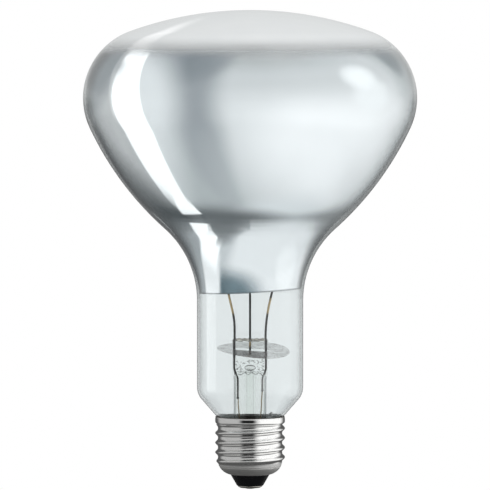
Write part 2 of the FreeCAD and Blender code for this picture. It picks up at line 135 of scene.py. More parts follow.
# %% Helpers that build a finish
class Finish:
    """A material with short names for the nodes that the lamp's finishes need."""

    def __init__(self, name, **sockets):
        self.material = bpy.data.materials.new(name)
        self.material.use_nodes = True
        self.tree = self.material.node_tree
        self.shader = self.tree.nodes["Principled BSDF"]
        for socket, value in sockets.items():
            self.shader.inputs[socket.replace("_", " ")].default_value = value
        self.place = self.node("ShaderNodeTexCoord").outputs["Object"]
        print("finish:", name)

    def node(self, kind, **values):
        made = self.tree.nodes.new(kind)
        for key, value in values.items():
            setattr(made, key, value)
        return made

    def link(self, source, target):
        self.tree.links.new(source, target)

    def feed(self, socket, source):
        self.link(source, self.shader.inputs[socket])

    def noise(self, scale, detail, stretch=(1, 1, 1)):
        mapping = self.node("ShaderNodeMapping")
        mapping.inputs["Scale"].default_value = stretch
        self.link(self.place, mapping.inputs["Vector"])
        made = self.node("ShaderNodeTexNoise")
        made.inputs["Scale"].default_value = scale
        made.inputs["Detail"].default_value = detail
        self.link(mapping.outputs["Vector"], made.inputs["Vector"])
        return made.outputs["Fac"]

    def axis(self, letter):
        split = self.node("ShaderNodeSeparateXYZ")
        self.link(self.place, split.inputs["Vector"])
        return split.outputs[letter]

    def remap(self, source, low, high, to_low=0.0, to_high=1.0, smooth=True):
        made = self.node("ShaderNodeMapRange")
        made.interpolation_type = "SMOOTHSTEP" if smooth else "LINEAR"
        for socket, value in zip(("From Min", "From Max", "To Min", "To Max"), (low, high, to_low, to_high)):
            made.inputs[socket].default_value = value
        self.link(source, made.inputs["Value"])
        return made.outputs["Result"]

    def math(self, operation, first, second=0.0):
        made = self.node("ShaderNodeMath", operation=operation)
        for socket, value in zip(made.inputs, (first, second)):
            if isinstance(value, (int, float)):
                socket.default_value = value
            else:
                self.link(value, socket)
        return made.outputs["Value"]

    def overlap(self, first, *others):
        for other in others:
            first = self.math("MULTIPLY", first, other)
        return first

    def mix(self, factor, first, second):
        made = self.node("ShaderNodeMix", data_type="RGBA")
        self.link(factor, made.inputs["Factor"])
        colours = [socket for socket in made.inputs if socket.type == "RGBA"]
        for socket, value in zip(colours, (first, second)):
            if isinstance(value, tuple):
                socket.default_value = value + (1.0,)
            else:
                self.link(value, socket)
        return [socket for socket in made.outputs if socket.type == "RGBA"][0]

    def tint(self, share, first, second):
        self.feed("Base Color", self.mix(share, first, second))

    def roughen(self, cloud, low, high):
        self.feed("Roughness", self.remap(cloud, 0.3, 0.8, low, high))

    def bump(self, height, depth, strength):
        made = self.node("ShaderNodeBump")
        made.inputs["Distance"].default_value = depth * MM
        made.inputs["Strength"].default_value = strength
        self.link(height, made.inputs["Height"])
        self.feed("Normal", made.outputs["Normal"])


# %% [markdown]
# ## The bulb's outline
# The bulb is blown into a mould that is all arcs: a flat dome, a tight shoulder, a long side and a hollow
# flare that runs into the straight neck. Each arc touches the next one without a kink, so two radii and two
# places are enough to find a centre, and the mirror later shows no crease.

# %% Work out the centres of the arcs
OVERALL = 179.6
BULB_RADIUS = 62.5
DOME_RADIUS = 132.0
SHOULDER_RADIUS = 26.6
SIDE_RADIUS = 117.6
FLARE_RADIUS = 36.3
NECK_RADIUS = 19.9
NECK_TOP = 70.7
GLASS_WALL = 0.9


def circles_meet(first, first_radius, second, second_radius):
    span = (second - first).length
    along = (second - first) / span
    reach = (first_radius**2 - second_radius**2 + span**2) / (2 * span)
    rise = math.sqrt(first_radius**2 - reach**2)
    return first + along * reach + Vector((along.z, 0, -along.x)) * rise


def heading(start, end):
    return math.degrees(math.atan2(end.z - start.z, end.x - start.x))


shoulder_reach = BULB_RADIUS - SHOULDER_RADIUS
shoulder_rise = math.sqrt((DOME_RADIUS - SHOULDER_RADIUS)**2 - shoulder_reach**2)
dome_centre = at(0, OVERALL - DOME_RADIUS)
shoulder_centre = dome_centre + at(shoulder_reach, shoulder_rise)
flare_centre = at(NECK_RADIUS + FLARE_RADIUS, NECK_TOP)
side_centre = circles_meet(
    shoulder_centre, (SIDE_RADIUS - SHOULDER_RADIUS) * MM, flare_centre, (SIDE_RADIUS + FLARE_RADIUS) * MM
)
dome_end = heading(dome_centre, shoulder_centre)
shoulder_end = heading(side_centre, shoulder_centre)
side_end = heading(side_centre, flare_centre)
print(f"dome ends at {dome_end:.1f}, shoulder at {shoulder_end:.1f}, side at {side_end:.1f} degrees")

# %% [markdown]
# ## Clear and frosted glass
# Most of the bulb is clear, polished glass with the faint waves that blowing leaves. The dome is etched to a
# soft white frost, so that the filament does not glare. One mesh carries both: its faces above the edge of
# the frost take a second finish, which turns from clear to milky over a few millimetres.

# %% Glass finishes
FROST_EDGE = OVERALL - 13.3
FROST_BLEND = 4.0
frost_low = (FROST_EDGE - FROST_BLEND) * MM
frost_high = (FROST_EDGE + FROST_BLEND) * MM



def smooth_glass(name, colour, bending):
    return Finish(name, Base_Color=colour + (1,), Roughness=0.0, IOR=bending, Transmission_Weight=1.0)


clear_glass = smooth_glass("clear_glass", (0.875, 0.905, 0.91), 1.5)
clear_glass.bump(clear_glass.noise(40, 2.0, (1, 1, 0.35)), 0.04, 0.15)

frosted_glass = Finish("frosted_glass", Roughness=0.03, IOR=1.5, Transmission_Weight=0.1)
clearness = frosted_glass.remap(frosted_glass.axis("Z"), frost_low, frost_high, 1.0, 0.05)
frosted_glass.feed("Transmission Weight", clearness)
milk = frosted_glass.noise(70, 3.0)
frosted_glass.tint(milk, (0.86, 0.89, 0.9), (0.92, 0.94, 0.945))
frosted_glass.bump(frosted_glass.noise(40, 2.0), 0.04, 0.15)

# %% [markdown]
# ## The bulb
# The pen runs down the outside, from the crown of the dome to the end of the skirt inside the cap, and then
# down the inside. Joined at the skirt and turned once round, that is a closed glass wall of the real
# thickness, which bends light as the real one does.

# %% Blow the bulb
TAPER_ANGLE = 41.0
CORNER_RADIUS = 7.0
SKIRT_RADIUS = 10.5
SKIRT_BLEND = 3.0
SKIRT_END = 18.5
RIM_RADIUS = 12.45
RIM_HEIGHT = 27.1
BULB_STEPS = 200

slope = math.radians(TAPER_ANGLE)
taper_line = RIM_RADIUS * math.cos(slope) - RIM_HEIGHT * math.sin(slope)
corner_across = NECK_RADIUS - CORNER_RADIUS
corner_height = (corner_across * math.cos(slope) + CORNER_RADIUS - taper_line) / math.sin(slope)
blend_across = SKIRT_RADIUS + SKIRT_BLEND
blend_height = (blend_across * math.cos(slope) - SKIRT_BLEND - taper_line) / math.sin(slope)


def reflector_part(pen):
    pen.arc(dome_centre, 90 - dome_end, 56)
    pen.arc(shoulder_centre, dome_end - shoulder_end, 60)
    pen.arc(side_centre, shoulder_end - side_end, 44)
    pen.arc(flare_centre, side_end, 44)


def bulb_wall(pen, inset):
    reflector_part(pen)
    pen.line(NECK_RADIUS - inset, corner_height, 8)
    pen.arc(at(corner_across, corner_height), TAPER_ANGLE, 12)
    turned_in = math.radians(180 - TAPER_ANGLE)
    blend = SKIRT_BLEND + inset
    pen.line(blend_across + blend * math.cos(turned_in), blend_height + blend * math.sin(turned_in), 6)
    pen.arc(at(blend_across, blend_height), -TAPER_ANGLE, 6)
    pen.line(SKIRT_RADIUS - inset, SKIRT_END, 3)


outer = Pen(0, OVERALL)
bulb_wall(outer, 0)
inner = Pen(0, OVERALL - GLASS_WALL, outer.bm)
bulb_wall(inner, GLASS_WALL)
outer.bm.edges.new((outer.tip, inner.tip))
bm = outer.turned(BULB_STEPS)
for face in bm.faces:
    if face.calc_center_median().z > frost_low:
        face.material_index = 1
keep(bm, "blown_bulb", "glass_envelope", "bulb_glass", clear_glass, frosted_glass)

# %% [markdown]
# ## The silver
# The film is only a breath of metal on the inside of the glass. It starts in a soft edge under the dome and
# ends a little askew above the neck, in a thin dark line. Low on the front it carries a blue-grey stain.

# %% Silver finish
SILVER_TOP = FROST_EDGE + 1.6
SILVER_LOW = NECK_TOP + 3.9
SILVER_TILT = 3.0
TOP_FADE = 0.5
LOW_FADE = 0.4
DARK_LINE = 0.75
STAIN_CENTRE = Vector((-8.6, -18.0, 73.2))
STAIN_SIZE = Vector((17.5, 20.0, 13.5))
STAIN_LEFT = -11.5
STAIN_LEFT_END = -10.2

silver = Finish("silver_film", Metallic=1.0)
edge_rise = silver.math("MULTIPLY", silver.axis("X"), math.tan(math.radians(SILVER_TILT)))
edge_height = silver.math("ADD", edge_rise, SILVER_LOW * MM)
height_over_edge = silver.math("SUBTRACT", silver.axis("Z"), edge_height)

from_stain = silver.node("ShaderNodeVectorMath", operation="SUBTRACT")
silver.link(silver.place, from_stain.inputs[0])
from_stain.inputs[1].default_value = STAIN_CENTRE * MM
in_stain_sizes = silver.node("ShaderNodeVectorMath", operation="DIVIDE")
silver.link(from_stain.outputs["Vector"], in_stain_sizes.inputs[0])
in_stain_sizes.inputs[1].default_value = STAIN_SIZE * MM
stain_reach = silver.node("ShaderNodeVectorMath", operation="LENGTH")
silver.link(in_stain_sizes.outputs["Vector"], stain_reach.inputs[0])
blue_stain = silver.overlap(
    silver.remap(stain_reach.outputs["Value"], 1.0, 0.35, 0.0, 0.97),
    silver.remap(silver.axis("X"), STAIN_LEFT * MM, STAIN_LEFT_END * MM),
)
stained_silver = silver.mix(blue_stain, (0.945, 0.945, 0.955), (0.14, 0.21, 0.245))
dark_line = silver.remap(height_over_edge, DARK_LINE * MM, LOW_FADE * MM, 0.0, 0.6)
silver.tint(dark_line, stained_silver, (0.10, 0.12, 0.13))
silver.roughen(silver.noise(90, 4.0), 0.03, 0.08)
silver.bump(silver.noise(38, 2.0), 0.1, 0.2)
fade_top = silver.remap(silver.axis("Z"), SILVER_TOP * MM, (SILVER_TOP - TOP_FADE) * MM)
fade_low = silver.remap(height_over_edge, 0.0, LOW_FADE * MM, 0.5, 1.0)
silver.feed("Alpha", silver.overlap(fade_top, fade_low))

# %% [markdown]
# The film follows the bulb's arcs a little further in. It is turned as a thin sheet, pressed in by a shallow
# ring groove at the waist, where the lamp has a dark band, cut off by two planes and then given a thickness.

# %% Lay the film in the bulb
FILM_INSET = GLASS_WALL + 0.1
FILM_THICKNESS = 0.12
FILM_STEPS = 224
FILM_REACH = 6.0
GROOVE_HEIGHT = 100.4
GROOVE_WIDTH = 3.1
GROOVE_DEPTH = 0.6
GROOVE_INWARD = 0.68
GROOVE_UPWARD = 0.73
CUT_GAP = 0.0001
ON_AXIS = 1e-6


def press_groove(bm):
    for vert in bm.verts:
        outward = Vector((vert.co.x, vert.co.y, 0))
        if outward.length > ON_AXIS:
            off = (vert.co.z / MM - GROOVE_HEIGHT) / GROOVE_WIDTH
            sunk = GROOVE_DEPTH * math.exp(-off * off / 2) * MM
            vert.co -= (outward.normalized() * GROOVE_INWARD - Vector((0, 0, GROOVE_UPWARD))) * sunk


def cut_off(bm, height, tilt, above):
    normal = Vector((-math.sin(math.radians(tilt)), 0, math.cos(math.radians(tilt))))
    bmesh.ops.bisect_plane(
        bm, geom=bm.verts[:] + bm.edges[:] + bm.faces[:], dist=CUT_GAP * MM, plane_co=at(0, height),
        plane_no=normal, clear_outer=above, clear_inner=not above,
    )


pen = Pen(0, OVERALL - FILM_INSET)
reflector_part(pen)
pen.line(NECK_RADIUS - FILM_INSET, NECK_TOP - FILM_REACH, 4)
bm = pen.turned(FILM_STEPS)
press_groove(bm)
cut_off(bm, SILVER_TOP, 0, True)
cut_off(bm, SILVER_LOW, SILVER_TILT, False)
weld(bm)
rightmost = max(bm.faces, key=lambda face: face.calc_center_median().x)
if rightmost.normal.x < 0:
    bmesh.ops.reverse_faces(bm, faces=bm.faces)
bmesh.ops.solidify(bm, geom=bm.faces[:], thickness=FILM_THICKNESS * MM)
keep(bm, "silver_film", "mirror_coating", "silver_film", silver)

# %% [markdown]
# ## The screw cap
# The shell is drawn from a sheet of plated brass as a plain cup, and rollers then press the thread into it.
# We do the same: the cup is turned as a smooth wall, inside and out, and each of its points is moved out by
# a wave that climbs one pitch for each turn. The wave dies away at both ends.

# %% Cap finish
FOOT_CHANGE_TOP = 10.9
FOOT_CHANGE_FULL = 9.0

plated_sheet = Finish("plated_sheet", Metallic=1.0)
grain = plated_sheet.noise(900, 4.0, (1, 1, 2.5))
cloud = plated_sheet.noise(160, 3.0)
# The plate is darker and rougher towards the foot.
darker_rougher_foot = plated_sheet.remap(plated_sheet.axis("Z"), FOOT_CHANGE_TOP * MM, FOOT_CHANGE_FULL * MM)
bright = plated_sheet.mix(cloud, (0.86, 0.86, 0.85), (0.74, 0.74, 0.73))
plated_sheet.tint(darker_rougher_foot, bright, (0.62, 0.62, 0.61))
sheen = plated_sheet.remap(grain, 0.3, 0.75, 0.06, 0.15)
dulled = plated_sheet.math("MULTIPLY", darker_rougher_foot, 0.55)
plated_sheet.feed("Roughness", plated_sheet.math("ADD", sheen, dulled))
plated_sheet.bump(grain, 0.02, 0.25)

# %% Roll the thread into the cup
THREAD_PITCH = 25.4 / 7
THREAD_ROOT = 12.05
THREAD_DEPTH = 1.05
THREAD_SHARPNESS = 1.6
THREAD_LOW = 9.2
THREAD_HIGH = 24.9
THREAD_LIMIT = 24.5
RUN_IN = 1.9
RUN_OUT = 1.2
CREST_AT = 11.93
ROOT_LOW = 10.2
ROOT_HIGH = 24.0
ROOT_EASE = 0.15
ROOT_FILLET = 0.35
SHELL_WALL = 0.3
SHELL_STEPS = 160
FOOT_RADIUS = 11.5
FOOT_HEIGHT = 8.3
FOOT_BEAD = 0.3
FOOT_EASE = 0.24
FOOT_FILLET = 0.38
MOUTH_RADIUS = 7.3
MOUTH_HEIGHT = 5.4
CURL = 6.0
CURL_EASE = 0.06
CURL_FILLET = 0.2
COLLAR_RADIUS = 12.95
COLLAR_LOW = 25.4
COLLAR_HIGH = 26.6
COLLAR_SHOULDER = 0.12
COLLAR_SWELL = 0.14

curl_centre = circles_meet(
    at(FOOT_RADIUS, FOOT_HEIGHT), CURL * MM, at(MOUTH_RADIUS, MOUTH_HEIGHT), CURL * MM
)
curl_start = heading(curl_centre, at(FOOT_RADIUS, FOOT_HEIGHT))
curl_end = heading(curl_centre, at(MOUTH_RADIUS, MOUTH_HEIGHT))


def polar(centre, radius, degrees):
    turned = math.radians(degrees)
    return centre + at(radius * math.cos(turned), radius * math.sin(turned))


def cup_wall(pen, inset):
    collar, root, foot = COLLAR_RADIUS - inset, THREAD_ROOT - inset, FOOT_RADIUS - inset
    pen.line(collar + COLLAR_SHOULDER, COLLAR_HIGH, 2)
    pen.lines([(collar + COLLAR_SWELL, COLLAR_LOW), (collar, THREAD_HIGH)], 3)
    pen.lines([(root + ROOT_EASE, ROOT_HIGH + ROOT_FILLET), (root, ROOT_HIGH)], 3)
    pen.line(root, ROOT_LOW, 96)
    bead = [(foot + FOOT_BEAD, THREAD_LOW), (foot + FOOT_EASE, FOOT_HEIGHT + FOOT_FILLET)]
    pen.lines(bead, 4)
    joint = polar(curl_centre, CURL - inset, curl_start) / MM
    pen.lines([(joint.x - CURL_EASE, joint.z + CURL_FILLET), (joint.x, joint.z)], 2)
    pen.arc(curl_centre, curl_start - curl_end, 14)


def rolled(vert):
    turns = math.atan2(vert.co.y, vert.co.x) / (2 * math.pi)
    height = vert.co.z / MM
    phase = (height - CREST_AT) / THREAD_PITCH - turns
    wave = (0.5 + 0.5 * math.cos(2 * math.pi * phase))**THREAD_SHARPNESS
    low = min(max((height - THREAD_LOW) / RUN_IN, 0), 1)
    high = min(max((THREAD_HIGH - height) / RUN_OUT, 0), 1)
    return THREAD_DEPTH * wave * low * high


outer = Pen(COLLAR_RADIUS, RIM_HEIGHT)
cup_wall(outer, 0)
inner = Pen(COLLAR_RADIUS - SHELL_WALL, RIM_HEIGHT, outer.bm)
cup_wall(inner, SHELL_WALL)
outer.bm.edges.new((outer.start, inner.start))
outer.bm.edges.new((outer.tip, inner.tip))
bm = outer.turned(SHELL_STEPS)
for vert in bm.verts:
    if FOOT_HEIGHT * MM < vert.co.z < THREAD_LIMIT * MM:
        outward = Vector((vert.co.x, vert.co.y, 0)).normalized()
        vert.co += outward * rolled(vert) * MM
keep(bm, "screw_shell", "cap_shell", "cap_metal", plated_sheet, crease=50)

# %% [markdown]
# ## Black glass and the centre contact
# Molten black glass is poured into the curled foot of the shell and pressed to a cone, which keeps the two
# contacts apart. The contact itself is a small pressed plate, with a bump of solder over the lead that comes
# through its hole.

# %% Finishes under the cap
black_glass = Finish("black_glass", Base_Color=(0.004, 0.004, 0.005, 1), Specular_IOR_Level=0.16)
black_glass.roughen(black_glass.noise(420, 4.0), 0.08, 0.3)
black_glass.bump(black_glass.noise(240, 3.0), 0.12, 0.5)

tinned_brass = Finish("tinned_brass", Metallic=1.0)
tin_cloud = tinned_brass.noise(300, 4.0)
tinned_brass.tint(tin_cloud, (0.60, 0.58, 0.53), (0.40, 0.38, 0.35))
tinned_brass.roughen(tin_cloud, 0.22, 0.45)
tinned_brass.bump(tin_cloud, 0.03, 0.4)

soft_solder = Finish("soft_solder", Metallic=0.9, Roughness=0.36)
solder_cloud = soft_solder.noise(700, 4.0)
soft_solder.tint(solder_cloud, (0.70, 0.68, 0.68), (0.46, 0.40, 0.38))
soft_solder.bump(solder_cloud, 0.06, 0.6)

# %% Pour the cone and press the contact
CONTACT_RADIUS = 4.6
CONTACT_FACE = 0.4
CONTACT_BEND = 3.5
CONTACT_BEND_RADIUS = 0.9
CONE_LOW = 1.2
CONE_FLOOR = 7.4
CONE_SEAT = CONTACT_RADIUS + 0.1
CONE_SEAT_ROUND = 0.35
CONE_SEAT_SWEEP = 58
CONE_OVERLAP = 0.05
HOLE_RADIUS = 0.8
FIT = 0.02
BUMP_RADIUS = 2.3
CONE_STEPS = 96
BUMP_STEPS = 64

mouth = polar(curl_centre, CURL, curl_end) / MM
inner_mouth = polar(curl_centre, CURL - SHELL_WALL, curl_end) / MM
pen = Pen(HOLE_RADIUS, CONE_LOW)
pen.line(CONE_SEAT, CONE_LOW, 4)
pen.arc(at(CONE_SEAT, CONE_LOW + CONE_SEAT_ROUND), -CONE_SEAT_SWEEP, 5)
pen.line(mouth.x, mouth.z - CONE_OVERLAP, 10)
pen.line(inner_mouth.x, inner_mouth.z + FIT)
pen.arc(curl_centre, curl_end - curl_start, 14)
pen.lines([(CONTACT_RADIUS, CONE_FLOOR), (HOLE_RADIUS, CONE_FLOOR)], 3)
pen.close()
bm = pen.turned(CONE_STEPS)
keep(bm, "black_cone", "cap_insulator", "black_glass", black_glass)

pen = Pen(HOLE_RADIUS, CONE_LOW)
pen.lines([(HOLE_RADIUS, 0.5), (2.5, 0.42), (CONTACT_BEND, CONTACT_FACE)], 3)
pen.arc(at(CONTACT_BEND, CONTACT_FACE + CONTACT_BEND_RADIUS), -40, 6)
pen.lines([(4.5, 0.86), (CONTACT_RADIUS, 1.02), (CONTACT_RADIUS, CONE_LOW)], 2)
pen.close()
bm = pen.turned(CONE_STEPS)
keep(bm, "contact_disc", "contact_plate", "contact_metal", tinned_brass)

root = HOLE_RADIUS - FIT
rivet = [(root, CONE_LOW), (root, CONTACT_FACE), (BUMP_RADIUS, CONTACT_FACE)]
pen = Pen(0, CONE_LOW)
pen.lines(rivet + [(2.1, 0.24), (1.7, 0.1), (1.1, 0.0), (0, 0)], 2)
pen.close()
bm = pen.turned(BUMP_STEPS)
keep(bm, "contact_bump", "centre_solder", "solder", soft_solder)

# %% [markdown]
# ## Cement and side solder
# A ring of brown cement, baked hard, holds the cap on the glass. Where it was squeezed out it makes a thin,
# uneven line above the rim. Its faces against the glass have a pale metallic finish, painted light that
# stands in for the cement lit through the clear skirt. On the right a drop of solder joins the second lead
# to the shell.

# %% Cement finishes
cement = Finish("baked_cement", Roughness=0.85)
grit = cement.noise(1500, 5.0)
cement.tint(grit, (0.34, 0.32, 0.30), (0.10, 0.09, 0.08))
cement.bump(grit, 0.15, 0.8)

# Painted light: a pale metallic finish on the faces against the glass stands in for the light that reaches
# them through the skirt.
cement_painted_light = Finish("cement_under_glass_painted_light", Metallic=1.0, Roughness=0.95)
painted_light_grit = cement_painted_light.noise(1100, 4.0)
cement_painted_light.tint(painted_light_grit, (0.95, 0.94, 0.92), (0.82, 0.80, 0.77))
cement_painted_light.bump(painted_light_grit, 0.08, 0.5)

# %% Squeeze in the cement
CEMENT_LOW = 21.0
CEMENT_HIGH = 27.28
CEMENT_STEPS = 160
CEMENT_FIT = 0.04
SOCKET_RADIUS = 11.72
SOCKET_HIGH = 24.0
COLLAR_BORE = 12.62
BORE_LOW = 24.75
LIP_START = 12.93
LIP_RADIUS = 13.0
LIP_HEIGHT = 27.2
LIP_ON_GLASS = 27.25
TAPER_FOOT = 24.6
SKIRT_TOP = 23.2
RIPPLE = 0.5
RIPPLE_FROM = 0.05
FACING_GLASS = -0.3


def glass_radius(height):
    return (taper_line + height * math.sin(slope)) / math.cos(slope)


def ripple(around):
    return 0.5 * math.sin(9 * around + 1.0) + 0.3 * math.sin(23 * around) + 0.2 * math.sin(41 * around + 2)


pen = Pen(SKIRT_RADIUS + CEMENT_FIT, CEMENT_LOW)
socket = [(SOCKET_RADIUS, CEMENT_LOW), (SOCKET_RADIUS, SOCKET_HIGH), (COLLAR_BORE, BORE_LOW)]
pen.lines(socket + [(COLLAR_BORE, RIM_HEIGHT)], 3)
lip = [(LIP_START, RIM_HEIGHT + CEMENT_FIT), (LIP_RADIUS, LIP_HEIGHT)]
pen.lines(lip + [(glass_radius(LIP_ON_GLASS) + CEMENT_FIT, CEMENT_HIGH)], 3)
taper = [(glass_radius(TAPER_FOOT) + CEMENT_FIT, TAPER_FOOT), (SKIRT_RADIUS + 2 * CEMENT_FIT, SKIRT_TOP)]
pen.lines(taper, 4)
pen.close()
bm = pen.turned(CEMENT_STEPS)
for vert in bm.verts:
    over = vert.co.z / MM - RIM_HEIGHT
    if over > RIPPLE_FROM:
        vert.co.z += RIPPLE * MM * ripple(math.atan2(vert.co.y, vert.co.x)) * over
# Faces that look inwards, at the glass, take the painted light finish.
for face in bm.faces:
    middle = face.calc_center_median()
    if face.normal.dot(Vector((middle.x, middle.y, 0)).normalized()) < FACING_GLASS:
        face.material_index = 1
keep(bm, "cement_ring", "basing_cement", "cement", cement, cement_painted_light, crease=60)

# %% Drop the solder on the rim
DROP_SHARE = 0.97

drop_low, drop_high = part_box("side_solder")
drop_middle = (Vector(drop_low) + Vector(drop_high)) / 2
drop_half = (Vector(drop_high) - Vector(drop_low)) / 2
bm = bmesh.new()
bmesh.ops.create_icosphere(bm, subdivisions=4, radius=1.0)
bmesh.ops.scale(bm, vec=drop_half * DROP_SHARE, verts=bm.verts)
bmesh.ops.translate(bm, vec=drop_middle, verts=bm.verts)
keep(bm, "rim_solder", "side_solder", "solder", soft_solder)

# %% [markdown]
# ## The stem
# A glass tube, belled out at the foot, is heated at the top and pinched flat round the wires. The pinched
# end is the press, and its top is seared brown. We do the same: the stem is turned round all the way up, and
# its points are then pinched from a circle to a flat section. Its glass bends light less than real glass, so
# that many walls one behind the other still look clear.

# %% Stem finishes
SEAR_LOW = 55.2
SEAR_HIGH = 56.3

stem_glass = Finish("stem_glass", Roughness=0.01, IOR=1.14, Transmission_Weight=1.0)
stem_glass.bump(stem_glass.noise(260, 3.0), 0.12, 0.35)
seared = stem_glass.remap(stem_glass.axis("Z"), SEAR_LOW * MM, SEAR_HIGH * MM)
stem_glass.tint(seared, (0.97, 0.98, 0.97), (0.62, 0.56, 0.47))
bubble_skin = smooth_glass("bubble_skin", (0.93, 0.93, 0.92), 1.55)
bubble_skin.bump(bubble_skin.noise(900, 2.0), 0.03, 0.3)

# %% Turn and pinch the stem
TUBE_RADIUS = 6.1
BORE_RADIUS = 5.3
BORE_ROUND = 1.6
BORE_CEILING = 0.7
BORE_DIMPLE = 0.35
BORE_EDGE = 0.01
TUBE_FIT = 0.03
BELL_RADIUS = 7.0
BELL_LIFT = 1.6
TUBE_TOP = 40.5
BORE_TOP = 43.6
PRESS_LOW = 45.0
PRESS_TOP = 56.7
PRESS_ROUND = 1.0
PRESS_HALF_WIDTH = 6.7
PRESS_HALF_DEPTH = 2.4
PRESS_SQUARENESS = 3.4
LUMPS_REACH = 2.5
LUMPS_RISE = 0.28
STEM_STEPS = 96

rim_radius = SKIRT_RADIUS - GLASS_WALL - TUBE_FIT
bell_sweep = math.degrees(math.acos((TUBE_RADIUS + BELL_RADIUS - rim_radius) / BELL_RADIUS))
bell_height = SKIRT_END + BELL_LIFT + BELL_RADIUS * math.sin(math.radians(bell_sweep))
bell_centre = at(TUBE_RADIUS + BELL_RADIUS, bell_height)
bell_mouth = polar(bell_centre, BELL_RADIUS + TUBE_RADIUS - BORE_RADIUS, 180 + bell_sweep) / MM

pen = Pen(0, PRESS_TOP)
pen.line(TUBE_RADIUS - PRESS_ROUND, PRESS_TOP, 6)
pen.arc(at(TUBE_RADIUS - PRESS_ROUND, PRESS_TOP - PRESS_ROUND), 90, 6)
pen.line(TUBE_RADIUS, PRESS_LOW, 30)
pen.line(TUBE_RADIUS, TUBE_TOP, 14)
pen.line(TUBE_RADIUS, bell_centre.z / MM, 6)
pen.arc(bell_centre, -bell_sweep, 10)
pen.line(rim_radius, SKIRT_END + FIT, 2)
pen.line(bell_mouth.x, bell_mouth.z, 2)
pen.arc(bell_centre, bell_sweep, 10)
pen.line(BORE_RADIUS, BORE_TOP - BORE_ROUND, 12)
pen.arc(at(BORE_RADIUS - BORE_ROUND, BORE_TOP - BORE_ROUND), -90, 6)
pen.line(0, BORE_TOP, 8)
bm = pen.turned(STEM_STEPS)


def squared(share):
    return math.copysign(abs(share)**(2 / PRESS_SQUARENESS), share)


def pinch(vert):
    height = vert.co.z / MM
    share = min(max((height - TUBE_TOP) / (PRESS_LOW - TUBE_TOP), 0), 1)
    share = share * share * (3 - 2 * share)
    out = math.hypot(vert.co.x, vert.co.y)
    if share == 0 or out < ON_AXIS:
        return
    across, deep = vert.co.x / out, vert.co.y / out
    flat_x = squared(across) * PRESS_HALF_WIDTH / TUBE_RADIUS
    flat_y = squared(deep) * PRESS_HALF_DEPTH / TUBE_RADIUS
    vert.co.x = out * (across * (1 - share) + flat_x * share)
    vert.co.y = out * (deep * (1 - share) + flat_y * share)
    along, away = vert.co.x / MM, vert.co.y / MM
    under_ceiling = BORE_TOP - BORE_CEILING < height <= BORE_TOP + BORE_EDGE
    if under_ceiling and out < (BORE_RADIUS + BORE_EDGE) * MM:
        vert.co.z += BORE_DIMPLE * MM * (math.sin(2.3 * along) + math.sin(1.7 * away + 1))
    if height > PRESS_TOP - LUMPS_REACH:
        lump = 0.5 * math.sin(2.9 * along + 0.6) + 0.35 * math.sin(5.3 * along)
        lump += 0.15 * math.sin(9.1 * along + 1)
        vert.co.z += LUMPS_RISE * MM * (lump - 1) * (height - PRESS_TOP + LUMPS_REACH) / LUMPS_REACH


for vert in bm.verts:
    pinch(vert)
weld(bm)

# %% [markdown]
# Bubbles are what makes the press look like glass and not like plastic. Each is a small ball whose faces
# point inwards, because there the glass ends and air begins. The largest one is the mouth of the exhaust
# tube, blown through the soft glass just under the front of the press. A row of small ones lies under its
# top, and a cloud of them at its foot leaves the mouth free.

# %% Blow the bubbles
MOUTH_PLACE = (0, -1.45, 45.6)
MOUTH_HALF = (2.1, 0.75, 1.15)
ROW_COUNT = 19
ROW_LEFT = -5.4
ROW_STEP = 0.6
ROW_DEPTH = 1.0
ROW_SIZES = (0.26, 0.5)
CLOUD_COUNT = 64
CLOUD_REACH = 5.2
CLOUD_HEIGHTS = (44.2, 48.6)
CLOUD_SIZES = (0.1, 0.32)
MOUTH_HEIGHTS = (44.0, 47.2)
MOUTH_SIDE = 2.7
BESIDE_MOUTH = 2.8
chance = random.Random(7)


def bubble(place, half, rounds):
    ball = bmesh.ops.create_icosphere(bm, subdivisions=rounds, radius=MM)["verts"]
    bmesh.ops.scale(bm, vec=half, verts=ball)
    bmesh.ops.translate(bm, vec=Vector(place) * MM, verts=ball)
    faces = {face for vert in ball for face in vert.link_faces}
    bmesh.ops.reverse_faces(bm, faces=list(faces))
    for face in faces:
        face.material_index = 1


bubble(MOUTH_PLACE, MOUTH_HALF, 4)
for step in range(ROW_COUNT):
    size = chance.uniform(*ROW_SIZES)
    deep = chance.uniform(-1.3, 0.8)
    height = PRESS_TOP - ROW_DEPTH + chance.uniform(-0.25, 0.15)
    bubble((ROW_LEFT + step * ROW_STEP, deep, height), (size * 1.1, size, size * 0.8), 2)
for _ in range(CLOUD_COUNT):
    across = chance.uniform(-CLOUD_REACH, CLOUD_REACH)
    height = chance.uniform(*CLOUD_HEIGHTS)
    if abs(across) < MOUTH_SIDE and MOUTH_HEIGHTS[0] < height < MOUTH_HEIGHTS[1]:
        across = math.copysign(chance.uniform(BESIDE_MOUTH, CLOUD_REACH), across)
    size = chance.uniform(*CLOUD_SIZES)
    bubble((across, chance.uniform(-1.7, 0.4), height), (size * 1.3, size, size), 2)
keep(bm, "pinched_stem", "stem", "stem_glass", stem_glass, bubble_skin, crease=70)

# %% [markdown]
# ## The exhaust tube
# Through this thin tube the air is pumped out of the bulb. Its lower end is melted shut, so the pen draws a
# round tip there, outside and inside.

# %% Draw the exhaust tube
EXHAUST_RADIUS = 2.0
EXHAUST_BORE = 1.2
EXHAUST_TOP = 43.98
EXHAUST_TIP = 13.5
EXHAUST_SHUT = EXHAUST_TIP + 2.4
EXHAUST_STEPS = 48

